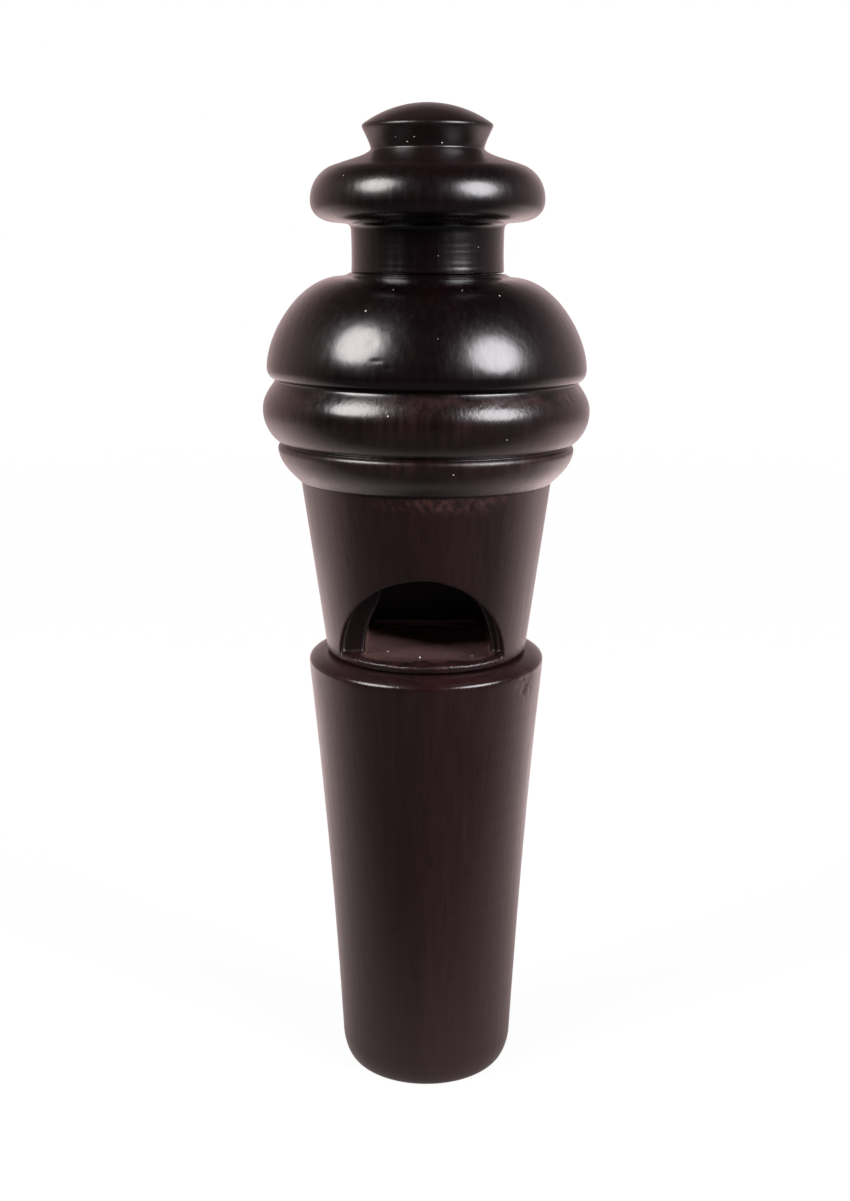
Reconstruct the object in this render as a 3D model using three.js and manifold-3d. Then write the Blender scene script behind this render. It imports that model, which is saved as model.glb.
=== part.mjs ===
// A turned wooden duck call. A tapered mouthpiece barrel takes the tenon of the sound body, whose bore
// holds a tone board, a brass reed and the wedge that clamps it. A head and a finial close the top.
// Millimetres, +Z up along the call, the sound window towards -Y, origin at the centre of the mouth end.

import * as THREE from "three";
import { mergeVertices } from "three/addons/utils/BufferGeometryUtils.js";
import Module from "manifold-3d";

const wasm = await Module();
wasm.setup();

// Driving dimensions.
const GAP = 0.3; // between pieces that touch
const SIDES = 48; // facets round a turned piece
const ARC_STEPS = 5; // steps along a curve of an outline
const CHAMFER = 0.5; // on the ends of tenons
const FINE_CHAMFER = 0.3;
const OVERCUT = 1.0; // how far a cutting shape runs past the wood

const BARREL_LENGTH = 57.8;
const BARREL_FOOT_R = 11.37;
const BARREL_WAIST_R = 12.65; // draws the long taper in, so that it is slightly hollow
const BARREL_TOP_R = 15.22;
const LIP_FLAT_R = 9.65;
const LIP_ROUND = 3.4;
const SHOULDER_DROP = 1.4; // how far the shoulder slopes down to its outer edge
const SHOULDER_WIDTH = 2.0;
const MOUTH_BORE_R = 7.9;
const MOUTH_ROUND = 0.7;
const SOCKET_R = 9.5;
const SOCKET_DEPTH = 19.6;

const TENON_LENGTH = 19.3;
const TENON_R = SOCKET_R - GAP;
const GROOVE_R = 8.1; // bottom of the groove that holds the lapping
const GROOVE_LOW = 41.0;
const GROOVE_HIGH = 54.0;
const LAPPING_R = 9.3;

const CONE_FOOT_R = 12.8;
const CONE_TOP_R = 15.8;
const CONE_TOP = 80.1;
const SPARE_HEIGHT = 2.0; // wood that is cut off to the slope of the leaning head
const CHAMBER_R = 8.0;
const CHAMBER_FLOOR = 58.7;

const WINDOW_SILL = 59.0;
const WINDOW_HALF_WIDTH = 10.1;
const WINDOW_HEIGHT = 11.2;
const WINDOW_X = -0.6;
const WINDOW_DEPTH_Y = -6.2; // where the wide cut through the wall ends
const MORTISE_X = 0.2;
const MORTISE_HALF_WIDTH = 8.0; // the square floor behind the window
const MORTISE_HEIGHT = 10.4;
const MORTISE_BACK_Y = 9.0;
const MORTISE_FRONT_Y = -9.8;
const MORTISE_R = 11.3; // rounds the corners of the floor

const REED_BORE_R = 4.9;
const REED_BORE_TOP = 54.5; // the floor of the chamber closes the bore
const AIRWAY_LOW = 52.3; // the slanting slot that lets the sound up behind the floor
const AIRWAY_HALF_WIDTH = 2.6;
const AIRWAY_FRONT_Y = 7.9;
const AIRWAY_BACK_Y = 8.7;

const HEAD_LOW = CONE_TOP + GAP;
const HEAD_TOP = 105.6;
const HEAD_TOP_R = 9.9;
const PLUG_R = 7.0; // loose in the chamber, so that the head can lean
const PLUG_DEPTH = 6.5;
const SMALL_BEAD_R = 18.65;
const SMALL_BEAD_TOP = 84.4;
const BEAD_GROOVE_R = 18.1;
const BEAD_GROOVE = 84.9;
const BIG_BEAD_R = 20.5;
const BIG_BEAD_MIDDLE = 89.1;
const DOME_GROOVE_R = 18.8;
const DOME_GROOVE = 92.8;
const DOME_R = 20.0;
const DOME_WIDEST = 94.2;
const DOME_TOP = 105.45;

const FINIAL_SEAT_R = 5.1;
const FINIAL_SEAT_DEPTH = 8.9;
const NECK_LOW = HEAD_TOP + GAP;
const NECK_FOOT_R = 9.7;
const NECK_R = 9.35;
const COLLAR_LOW = 111.9;
const COLLAR_MIDDLE = 114.7;
const COLLAR_R = 14.45;
const COLLAR_ARRIS_R = 12.0;
const COLLAR_ARRIS = 118.75;
const WAIST_R = 6.95;
const WAIST = 120.8;
const BUTTON_R = 8.2;
const BUTTON_EDGE = 123.7;
const TOTAL_HEIGHT = 126.3;
const HEAD_TILT = THREE.MathUtils.degToRad(0.6); // hand-fitted, so not quite square
const HEAD_LEAN_BACK = THREE.MathUtils.degToRad(2.6);
const FINIAL_TILT = THREE.MathUtils.degToRad(-0.7);

const BOARD_R = REED_BORE_R - GAP;
const BOARD_TOP = AIRWAY_LOW - GAP;
const BOARD_LOW = 11.0;
const LAY_DROP = 1.3; // how far the board's face curves away from the reed at its tip
const TROUGH_LOW = 15.5;
const TROUGH_HALF_WIDTH = 1.6;
const TROUGH_DEPTH = 2.3;
const REED_THICKNESS = 0.4;
const REED_HALF_WIDTH = 4.0;
const REED_TIP_ROUND = 1.2;
const REED_TOP = 50.0;
const REED_LOW = 12.5;
const WEDGE_LOW = 35.5;
const WEDGE_TAPER = 3.0;

const polishedWood = new THREE.MeshStandardMaterial({ color: 0x1c0c0e, roughness: 0.22, metalness: 0 });
const satinWood = new THREE.MeshStandardMaterial({ color: 0x34201f, roughness: 0.45, metalness: 0 });
const plainWood = new THREE.MeshStandardMaterial({ color: 0x8a6a45, roughness: 0.6, metalness: 0 });
const waxedThread = new THREE.MeshStandardMaterial({ color: 0xb9a67c, roughness: 0.8, metalness: 0 });
const brass = new THREE.MeshStandardMaterial({ color: 0xb99347, roughness: 0.35, metalness: 1 });

// An outline is drawn in (radius, height), with the material on its left, and turned about Z.
function turned(outline) {
  const lathe = new THREE.LatheGeometry(outline.getPoints(ARC_STEPS), SIDES);
  return lathe.rotateX(Math.PI / 2);
}

// A flat shape in (x, y) drawn up along Z.
function drawnUp(shape, low, high) {
  const bar = new THREE.ExtrudeGeometry(shape, {
    depth: high - low,
    bevelEnabled: false,
    curveSegments: SIDES / 2,
  });
  return bar.translate(0, 0, low);
}

// A flat shape in (x, z) drawn from one y to a higher one.
function drawnBack(shape, front, back) {
  const bar = new THREE.ExtrudeGeometry(shape, {
    depth: back - front,
    bevelEnabled: false,
    curveSegments: SIDES / 2,
  });
  return bar.rotateX(Math.PI / 2).translate(0, back, 0);
}

// A flat shape in (y, z) drawn across x.
function drawnAcross(shape, left, right) {
  const bar = new THREE.ExtrudeGeometry(shape, { depth: right - left, bevelEnabled: false });
  const standing = new THREE.Matrix4().makeBasis(
    new THREE.Vector3(0, 1, 0),
    new THREE.Vector3(0, 0, 1),
    new THREE.Vector3(1, 0, 0),
  );
  return bar.applyMatrix4(standing).translate(left, 0, 0);
}

function toSolid(geometry) {
  const bare = geometry.clone();
  bare.deleteAttribute("normal");
  bare.deleteAttribute("uv");
  const merged = mergeVertices(bare);
  const vertProperties = merged.attributes.position.array;
  const triVerts = Uint32Array.from(merged.index.array);
  return new wasm.Manifold(new wasm.Mesh({ numProp: 3, vertProperties, triVerts }));
}

function toGeometry(solid) {
  const { vertProperties, triVerts } = solid.getMesh();
  const geometry = new THREE.BufferGeometry();
  geometry.setAttribute("position", new THREE.BufferAttribute(vertProperties, 3));
  geometry.setIndex(new THREE.BufferAttribute(triVerts, 1));
  geometry.computeVertexNormals();
  return geometry;
}

function named(name, geometry, material) {
  const mesh = new THREE.Mesh(geometry, material);
  mesh.name = name;
  return mesh;
}

// Turns a piece about a point on the call's axis.
function tiltAbout(height, aboutX, aboutY) {
  const turn = new THREE.Matrix4().makeRotationFromEuler(new THREE.Euler(aboutX, aboutY, 0));
  const down = new THREE.Matrix4().makeTranslation(0, 0, -height);
  return new THREE.Matrix4().makeTranslation(0, 0, height).multiply(turn).multiply(down);
}

const headPlace = tiltAbout(BIG_BEAD_MIDDLE, -HEAD_LEAN_BACK, HEAD_TILT);
const finialPlace = headPlace.clone().multiply(tiltAbout(NECK_LOW, 0, FINIAL_TILT));

function mouthpieceBarrel() {
  const taperTop = BARREL_LENGTH - SHOULDER_DROP;
  const socketFloor = BARREL_LENGTH - SOCKET_DEPTH;
  const outline = new THREE.Path();
  outline.moveTo(MOUTH_BORE_R + MOUTH_ROUND, 0);
  outline.lineTo(LIP_FLAT_R, 0);
  outline.bezierCurveTo(
    LIP_FLAT_R + 0.9, 0,
    BARREL_FOOT_R - 0.1, LIP_ROUND - 1.9,
    BARREL_FOOT_R, LIP_ROUND,
  );
  outline.quadraticCurveTo(BARREL_WAIST_R, (LIP_ROUND + taperTop) / 2, BARREL_TOP_R, taperTop);
  outline.bezierCurveTo(
    BARREL_TOP_R, taperTop + SHOULDER_DROP / 2,
    BARREL_TOP_R - SHOULDER_WIDTH / 2, BARREL_LENGTH,
    BARREL_TOP_R - SHOULDER_WIDTH, BARREL_LENGTH,
  );
  outline.lineTo(SOCKET_R + FINE_CHAMFER, BARREL_LENGTH);
  outline.lineTo(SOCKET_R, BARREL_LENGTH - FINE_CHAMFER);
  outline.lineTo(SOCKET_R, socketFloor);
  outline.lineTo(MOUTH_BORE_R, socketFloor);
  outline.lineTo(MOUTH_BORE_R, MOUTH_ROUND);
  outline.quadraticCurveTo(MOUTH_BORE_R, 0, MOUTH_BORE_R + MOUTH_ROUND, 0);
  return named("mouthpiece_barrel", turned(outline), satinWood);
}

// An upright half ellipse standing on z = low.
function arch(middle, halfWidth, low, height) {
  const shape = new THREE.Shape();
  shape.moveTo(middle + halfWidth, low);
  shape.absellipse(middle, low, halfWidth, height, 0, Math.PI, false);
  shape.closePath();
  return shape;
}

function soundBody() {
  const shoulder = BARREL_LENGTH + GAP;
  const tenonLow = BARREL_LENGTH - TENON_LENGTH;
  const coneSlope = (CONE_TOP_R - CONE_FOOT_R) / (CONE_TOP - shoulder);
  const outline = new THREE.Path();
  outline.moveTo(0, REED_BORE_TOP);
  outline.lineTo(REED_BORE_R, REED_BORE_TOP);
  outline.lineTo(REED_BORE_R, tenonLow);
  outline.lineTo(TENON_R - CHAMFER, tenonLow);
  outline.lineTo(TENON_R, tenonLow + CHAMFER);
  outline.lineTo(TENON_R, GROOVE_LOW);
  outline.lineTo(GROOVE_R, GROOVE_LOW);
  outline.lineTo(GROOVE_R, GROOVE_HIGH);
  outline.lineTo(TENON_R, GROOVE_HIGH);
  outline.lineTo(TENON_R, shoulder);
  outline.lineTo(CONE_FOOT_R - FINE_CHAMFER, shoulder);
  outline.lineTo(CONE_FOOT_R, shoulder + FINE_CHAMFER);
  outline.lineTo(CONE_TOP_R + SPARE_HEIGHT * coneSlope, CONE_TOP + SPARE_HEIGHT);
  outline.lineTo(CHAMBER_R, CONE_TOP + SPARE_HEIGHT);
  outline.lineTo(CHAMBER_R, CHAMBER_FLOOR);
  outline.lineTo(0, CHAMBER_FLOOR);

  const front = -CONE_TOP_R - OVERCUT;
  const windowCut = toSolid(
    drawnBack(
      arch(WINDOW_X, WINDOW_HALF_WIDTH, WINDOW_SILL, WINDOW_HEIGHT),
      front,
      WINDOW_DEPTH_Y,
    ),
  );
  const mortise = toSolid(
    drawnBack(
      arch(MORTISE_X, MORTISE_HALF_WIDTH, CHAMBER_FLOOR, MORTISE_HEIGHT),
      MORTISE_FRONT_Y,
      MORTISE_BACK_Y,
    ),
  );
  const roundCorners = toSolid(
    new THREE.CylinderGeometry(MORTISE_R, MORTISE_R, CONE_TOP, SIDES)
      .rotateX(Math.PI / 2)
      .translate(0, 0, CHAMBER_FLOOR),
  );
  const floorCut = mortise.intersect(roundCorners);

  const airway = new THREE.Shape();
  airway.moveTo(REED_BORE_R - OVERCUT, AIRWAY_LOW);
  airway.lineTo(AIRWAY_BACK_Y, CHAMBER_FLOOR);
  airway.lineTo(AIRWAY_BACK_Y, CHAMBER_FLOOR + OVERCUT);
  airway.lineTo(AIRWAY_FRONT_Y, CHAMBER_FLOOR + OVERCUT);
  airway.lineTo(AIRWAY_FRONT_Y, CHAMBER_FLOOR);
  airway.lineTo(REED_BORE_R - OVERCUT, REED_BORE_TOP);
  airway.closePath();
  const airwayCut = toSolid(drawnAcross(airway, -AIRWAY_HALF_WIDTH, AIRWAY_HALF_WIDTH));

  const aboveCone = toSolid(
    new THREE.CylinderGeometry(BIG_BEAD_R, BIG_BEAD_R, 2 * SPARE_HEIGHT, SIDES)
      .rotateX(Math.PI / 2)
      .translate(0, 0, CONE_TOP + SPARE_HEIGHT)
      .applyMatrix4(headPlace),
  );
  const body = toSolid(turned(outline))
    .subtract(windowCut)
    .subtract(floorCut)
    .subtract(airwayCut)
    .subtract(aboveCone);
  return named("sound_body", toGeometry(body), satinWood);
}

function tenonLapping() {
  const inner = GROOVE_R + GAP;
  const low = GROOVE_LOW + GAP;
  const high = GROOVE_HIGH - GAP;
  const outline = new THREE.Path();
  outline.moveTo(inner, low);
  outline.lineTo(LAPPING_R, low);
  outline.lineTo(LAPPING_R, high);
  outline.lineTo(inner, high);
  outline.lineTo(inner, low);
  return named("tenon_lapping", turned(outline), waxedThread);
}

function head() {
  const plugLow = HEAD_LOW - PLUG_DEPTH;
  const seatFloor = HEAD_TOP - FINIAL_SEAT_DEPTH;
  const outline = new THREE.Path();
  outline.moveTo(0, plugLow);
  outline.lineTo(PLUG_R - CHAMFER, plugLow);
  outline.lineTo(PLUG_R, plugLow + CHAMFER);
  outline.lineTo(PLUG_R, HEAD_LOW);
  outline.lineTo(CONE_TOP_R + 0.15, HEAD_LOW);
  outline.bezierCurveTo(
    CONE_TOP_R + 1.2, HEAD_LOW + 1.2,
    SMALL_BEAD_R - 0.1, SMALL_BEAD_TOP - 1.5,
    SMALL_BEAD_R, SMALL_BEAD_TOP,
  );
  outline.lineTo(BEAD_GROOVE_R, BEAD_GROOVE);
  outline.bezierCurveTo(
    BEAD_GROOVE_R + 1.3, BEAD_GROOVE + 0.8,
    BIG_BEAD_R, BIG_BEAD_MIDDLE - 1.9,
    BIG_BEAD_R, BIG_BEAD_MIDDLE,
  );
  outline.bezierCurveTo(
    BIG_BEAD_R, BIG_BEAD_MIDDLE + 1.6,
    BIG_BEAD_R - 0.4, DOME_GROOVE - 1.1,
    DOME_GROOVE_R, DOME_GROOVE,
  );
  outline.quadraticCurveTo(DOME_R, DOME_GROOVE + 0.3, DOME_R, DOME_WIDEST);
  outline.bezierCurveTo(
    DOME_R, DOME_WIDEST + 4.2,
    DOME_R - 4.0, DOME_TOP - 0.4,
    HEAD_TOP_R + 0.9, DOME_TOP,
  );
  outline.lineTo(HEAD_TOP_R, HEAD_TOP);
  outline.lineTo(FINIAL_SEAT_R, HEAD_TOP);
  outline.lineTo(FINIAL_SEAT_R, seatFloor);
  outline.lineTo(0, seatFloor);
  return named("head", turned(outline), polishedWood);
}

function finial() {
  const tenonR = FINIAL_SEAT_R - GAP;
  const tenonLow = HEAD_TOP - FINIAL_SEAT_DEPTH + GAP;
  const crown = TOTAL_HEIGHT - BUTTON_EDGE;
  const crownR = (BUTTON_R ** 2 + crown ** 2) / (2 * crown);
  const crownAngle = Math.asin(BUTTON_R / crownR);
  const outline = new THREE.Path();
  outline.moveTo(0, tenonLow);
  outline.lineTo(tenonR - CHAMFER, tenonLow);
  outline.lineTo(tenonR, tenonLow + CHAMFER);
  outline.lineTo(tenonR, NECK_LOW);
  outline.lineTo(NECK_FOOT_R, NECK_LOW);
  outline.bezierCurveTo(NECK_R, NECK_LOW + 1.2, NECK_R, COLLAR_LOW - 2, NECK_FOOT_R, COLLAR_LOW);
  outline.lineTo(COLLAR_R - 3.2, COLLAR_LOW);
  outline.bezierCurveTo(
    COLLAR_R - 1.0, COLLAR_LOW + 0.3,
    COLLAR_R, COLLAR_MIDDLE - 1.5,
    COLLAR_R, COLLAR_MIDDLE,
  );
  outline.bezierCurveTo(
    COLLAR_R, COLLAR_MIDDLE + 2.0,
    COLLAR_ARRIS_R + 1.4, COLLAR_ARRIS - 0.7,
    COLLAR_ARRIS_R, COLLAR_ARRIS,
  );
  outline.bezierCurveTo(
    COLLAR_ARRIS_R - 2.1, COLLAR_ARRIS + 0.8,
    WAIST_R + 0.5, WAIST - 0.8,
    WAIST_R, WAIST,
  );
  outline.quadraticCurveTo(WAIST_R + 0.15, WAIST + 0.8, BUTTON_R, BUTTON_EDGE);
  outline.absarc(0, TOTAL_HEIGHT - crownR, crownR, Math.PI / 2 - crownAngle, Math.PI / 2, false);
  return named("finial", turned(outline), polishedWood);
}

// Half a disc of the reed bore, on the +Y side of y = face or, mirrored, on the -Y side.
function halfRound(face, side) {
  const edge = Math.asin(face / BOARD_R);
  const shape = new THREE.Shape();
  shape.absarc(0, 0, BOARD_R, side > 0 ? edge : Math.PI + edge, side > 0 ? Math.PI - edge : -edge, false);
  shape.closePath();
  return shape;
}

function toneBoard() {
  const face = REED_THICKNESS / 2 + GAP;
  const layTop = BARREL_LENGTH - TENON_LENGTH;
  const board = toSolid(drawnUp(halfRound(face, 1), BOARD_LOW, BOARD_TOP));

  const lay = new THREE.Shape();
  lay.moveTo(-BOARD_R, layTop);
  lay.lineTo(face, layTop);
  lay.quadraticCurveTo(face, (layTop + BOARD_LOW) / 2, face + LAY_DROP, BOARD_LOW - OVERCUT);
  lay.lineTo(-BOARD_R, BOARD_LOW - OVERCUT);
  lay.closePath();
  const layCut = toSolid(drawnAcross(lay, -BOARD_R - OVERCUT, BOARD_R + OVERCUT));

  const trough = new THREE.Shape();
  trough.moveTo(-TROUGH_HALF_WIDTH, face - OVERCUT);
  trough.lineTo(TROUGH_HALF_WIDTH, face - OVERCUT);
  trough.lineTo(TROUGH_HALF_WIDTH, face + TROUGH_DEPTH / 2);
  trough.absellipse(0, face + TROUGH_DEPTH / 2, TROUGH_HALF_WIDTH, TROUGH_DEPTH / 2, 0, Math.PI, false);
  trough.closePath();
  const troughCut = toSolid(drawnUp(trough, TROUGH_LOW, BOARD_TOP + OVERCUT));

  return named("tone_board", toGeometry(board.subtract(layCut).subtract(troughCut)), plainWood);
}

function reed() {
  const tongue = new THREE.Shape();
  tongue.moveTo(REED_HALF_WIDTH, REED_TOP);
  tongue.lineTo(-REED_HALF_WIDTH, REED_TOP);
  tongue.lineTo(-REED_HALF_WIDTH, REED_LOW + REED_TIP_ROUND);
  tongue.quadraticCurveTo(-REED_HALF_WIDTH, REED_LOW, REED_TIP_ROUND - REED_HALF_WIDTH, REED_LOW);
  tongue.lineTo(REED_HALF_WIDTH - REED_TIP_ROUND, REED_LOW);
  tongue.quadraticCurveTo(REED_HALF_WIDTH, REED_LOW, REED_HALF_WIDTH, REED_LOW + REED_TIP_ROUND);
  tongue.closePath();
  return named("reed", drawnBack(tongue, -REED_THICKNESS / 2, REED_THICKNESS / 2), brass);
}

function reedWedge() {
  const face = REED_THICKNESS / 2 + GAP;
  const block = toSolid(drawnUp(halfRound(face, -1), WEDGE_LOW, BOARD_TOP));
  const bevel = new THREE.Shape();
  bevel.moveTo(-face, WEDGE_LOW - OVERCUT);
  bevel.lineTo(-BOARD_R - OVERCUT, WEDGE_LOW + WEDGE_TAPER);
  bevel.lineTo(-BOARD_R - OVERCUT, WEDGE_LOW - OVERCUT);
  bevel.closePath();
  const bevelCut = toSolid(drawnAcross(bevel, -BOARD_R - OVERCUT, BOARD_R + OVERCUT));
  return named("reed_wedge", toGeometry(block.subtract(bevelCut)), plainWood);
}

function placed(piece, place) {
  piece.applyMatrix4(place);
  return piece;
}

const duckCall = new THREE.Group();
duckCall.add(
  mouthpieceBarrel(),
  soundBody(),
  tenonLapping(),
  placed(head(), headPlace),
  placed(finial(), finialPlace),
  toneBoard(),
  reed(),
  reedWedge(),
);

export default duckCall;
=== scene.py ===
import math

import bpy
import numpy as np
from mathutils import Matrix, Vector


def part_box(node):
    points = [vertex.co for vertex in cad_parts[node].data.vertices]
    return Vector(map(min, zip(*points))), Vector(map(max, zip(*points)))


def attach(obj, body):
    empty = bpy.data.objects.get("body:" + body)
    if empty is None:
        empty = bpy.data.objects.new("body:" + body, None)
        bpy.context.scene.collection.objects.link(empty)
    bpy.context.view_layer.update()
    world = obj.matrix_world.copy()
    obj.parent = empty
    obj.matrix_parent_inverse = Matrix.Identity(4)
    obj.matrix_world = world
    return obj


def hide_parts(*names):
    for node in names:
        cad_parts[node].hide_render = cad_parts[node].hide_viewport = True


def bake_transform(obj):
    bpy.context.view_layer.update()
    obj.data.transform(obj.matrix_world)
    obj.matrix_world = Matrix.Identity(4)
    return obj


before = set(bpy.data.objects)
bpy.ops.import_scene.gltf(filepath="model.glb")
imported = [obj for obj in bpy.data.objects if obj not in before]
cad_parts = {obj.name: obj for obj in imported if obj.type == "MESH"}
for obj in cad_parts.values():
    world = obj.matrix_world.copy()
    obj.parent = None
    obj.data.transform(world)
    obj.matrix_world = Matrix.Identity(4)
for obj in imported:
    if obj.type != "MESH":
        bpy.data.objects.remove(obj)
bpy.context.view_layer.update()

# A duck call turned from dark rosewood, standing on its mouth end. The frame gives the boxes of the pieces,
# and the turned shapes repeat the CAD's sizes. This script makes the fine surfaces, the finishes and the
# picture. Lengths are in millimetres until a mesh is made, and angles round the call run from the window
# side (-Y) towards +X.

MM = 0.001
SIDES = 288  # facets round a turned piece
STEP = 0.22  # spacing of points along a turned outline
BODY_CELL = 0.24  # grid of the skinned sound body
BOARD_CELL = 0.2  # grid of the skinned tone board and wedge
SEAM = 0.04  # what is left of the CAD's gap where two pieces touch


def box_mm(node):
    """Lowest and highest corner of a CAD node, in millimetres."""
    low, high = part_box(node)
    return np.array(low) / MM, np.array(high) / MM


# Places that the frame gives.
barrel_high = box_mm("mouthpiece_barrel")[1]
body_low, body_high = box_mm("sound_body")
lapping_low, lapping_high = box_mm("tenon_lapping")
board_low, board_high = box_mm("tone_board")
wedge_low, wedge_high = box_mm("reed_wedge")
reed_low, reed_high = box_mm("reed")

BARREL_LENGTH = barrel_high[2]
BARREL_TOP_R = barrel_high[0]
TENON_LOW = body_low[2]
GAP = 0.3

# Sizes of the turned shapes.
BARREL_FOOT_R = 11.37
BARREL_WAIST_R = 12.65
LIP_FLAT_R = 9.65
LIP_ROUND = 3.4
SHOULDER_DROP = 1.4
SHOULDER_WIDTH = 2.0
MOUTH_BORE_R = 7.9
MOUTH_ROUND = 0.7
SOCKET_R = 9.5
SOCKET_DEPTH = 19.6

TENON_R = SOCKET_R - GAP
GROOVE_R = 8.1
GROOVE_LOW = lapping_low[2] - GAP
GROOVE_HIGH = lapping_high[2] + GAP
CONE_FOOT_R = 12.8
CONE_TOP_R = 15.8
CONE_TOP = 80.1
CONE_TOP_RISE = 1.5  # room for the cone's leaning top over its middle
CHAMBER_R = 8.0
CHAMBER_FLOOR = 58.7
REED_BORE_R = 4.9
REED_BORE_TOP = 54.5

WINDOW_SILL = 59.0
WINDOW_HALF_WIDTH = 10.1
WINDOW_HEIGHT = 11.2
WINDOW_X = -0.6
WINDOW_DEPTH_Y = -6.2
MORTISE_X = 0.2
MORTISE_HALF_WIDTH = 8.0
MORTISE_HEIGHT = 10.4
MORTISE_BACK_Y = 9.0
MORTISE_FRONT_Y = -9.8
MORTISE_R = 11.3
AIRWAY_LOW = 52.3
AIRWAY_HALF_WIDTH = 2.6
AIRWAY_FRONT_Y = 7.9
AIRWAY_BACK_Y = 8.7

HEAD_LOW = CONE_TOP + GAP
HEAD_TOP = 105.6
HEAD_TOP_R = 9.75
PLUG_R = 7.0
PLUG_DEPTH = 6.5
SMALL_BEAD_R = 18.65
SMALL_BEAD_TOP = 84.4
BEAD_GROOVE_R = 18.1
BEAD_GROOVE = 84.95
BIG_BEAD_R = 20.5
BIG_BEAD_MIDDLE = 89.1
DOME_GROOVE_R = 18.85
DOME_GROOVE = 92.75
DOME_R = 20.0
DOME_WIDEST = 94.2
DOME_TOP = 105.5

FINIAL_SEAT_R = 5.1
FINIAL_SEAT_DEPTH = 8.9
NECK_LOW = HEAD_TOP + GAP
NECK_FOOT_R = 9.48
NECK_R = 9.38
COLLAR_LOW = 111.9
COLLAR_MIDDLE = 114.7
COLLAR_R = 14.45
COLLAR_ARRIS_R = 12.0
COLLAR_ARRIS = 118.75
WAIST_R = 6.92
WAIST = 120.8
BUTTON_R = 8.15
BUTTON_EDGE = 123.6
TOTAL_HEIGHT = 126.3

# The hand-fitted head and finial lean a little, as they do in the frame.
HEAD_TILT = math.radians(0.6)
HEAD_LEAN_BACK = math.radians(2.6)
FINIAL_TILT = math.radians(-0.7)


def tilt_about(height, about_x, about_y):
    """Turns about a point on the axis, in millimetres."""
    up = Matrix.Translation((0, 0, height))
    return up @ Matrix.Rotation(about_x, 4, "X") @ Matrix.Rotation(about_y, 4, "Y") @ up.inverted()


head_place = tilt_about(BIG_BEAD_MIDDLE, -HEAD_LEAN_BACK, HEAD_TILT)
finial_place = head_place @ tilt_about(NECK_LOW, 0, FINIAL_TILT)
up_the_head = np.array(head_place.to_3x3().col[2])


# ---------------------------------------------------------------------------------------------------------
# Shapes


class Outline:
    """A lathe outline in (radius, height), with the material on its left as it is walked."""

    def __init__(self, radius, height):
        self.points = [np.array([radius, height], float)]

    def line(self, radius, height):
        """A straight stretch, in even steps."""
        end = np.array([radius, height], float)
        start = self.points[-1]
        count = max(1, round(np.linalg.norm(end - start) / STEP))
        for i in range(1, count + 1):
            self.points.append(start + (end - start) * i / count)

    def curve(self, radius1, height1, radius2, height2, radius, height):
        """A cubic Bezier with two control points."""
        a = self.points[-1]
        b, c, d = np.array([[radius1, height1], [radius2, height2], [radius, height]], float)
        length = np.linalg.norm(b - a) + np.linalg.norm(c - b) + np.linalg.norm(d - c)
        count = max(4, round(length / STEP))
        for i in range(1, count + 1):
            t = i / count
            s = 1 - t
            self.points.append(s**3 * a + 3 * s * s * t * b + 3 * s * t * t * c + t**3 * d)

    def bend(self, radius1, height1, radius, height):
        """A quadratic Bezier with one control point."""
        a = self.points[-1]
        b, d = np.array([[radius1, height1], [radius, height]], float)
        near, far = a + (b - a) * 2 / 3, d + (b - d) * 2 / 3
        self.curve(*near, *far, *d)

    def worn(self, passes, closed=False):
        """The points, with every corner rubbed down a little."""
        p = np.array(self.points)
        if closed:
            p = p[:-1]
        for _ in range(passes):
            q = (np.roll(p, 1, 0) + 2 * p + np.roll(p, -1, 0)) / 4
            if not closed:
                q[0], q[-1] = p[0], p[-1]
            p = q
        return p


def new_object(name, vertices, faces, smooth=True):
    """A mesh object from vertices in millimetres."""
    mesh = bpy.data.meshes.new(name)
    mesh.from_pydata((np.asarray(vertices, float) * MM).tolist(), [], [list(f) for f in faces])
    mesh.validate()
    mesh.polygons.foreach_set("use_smooth", [smooth] * len(mesh.polygons))
    mesh.update()
    piece = bpy.data.objects.new(name, mesh)
    bpy.context.scene.collection.objects.link(piece)
    return piece


def paint(piece, name, values):
    """A number at each vertex that a material reads."""
    attribute = piece.data.attributes.new(name, "FLOAT", "POINT")
    attribute.data.foreach_set("value", np.asarray(values, np.float32))


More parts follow.
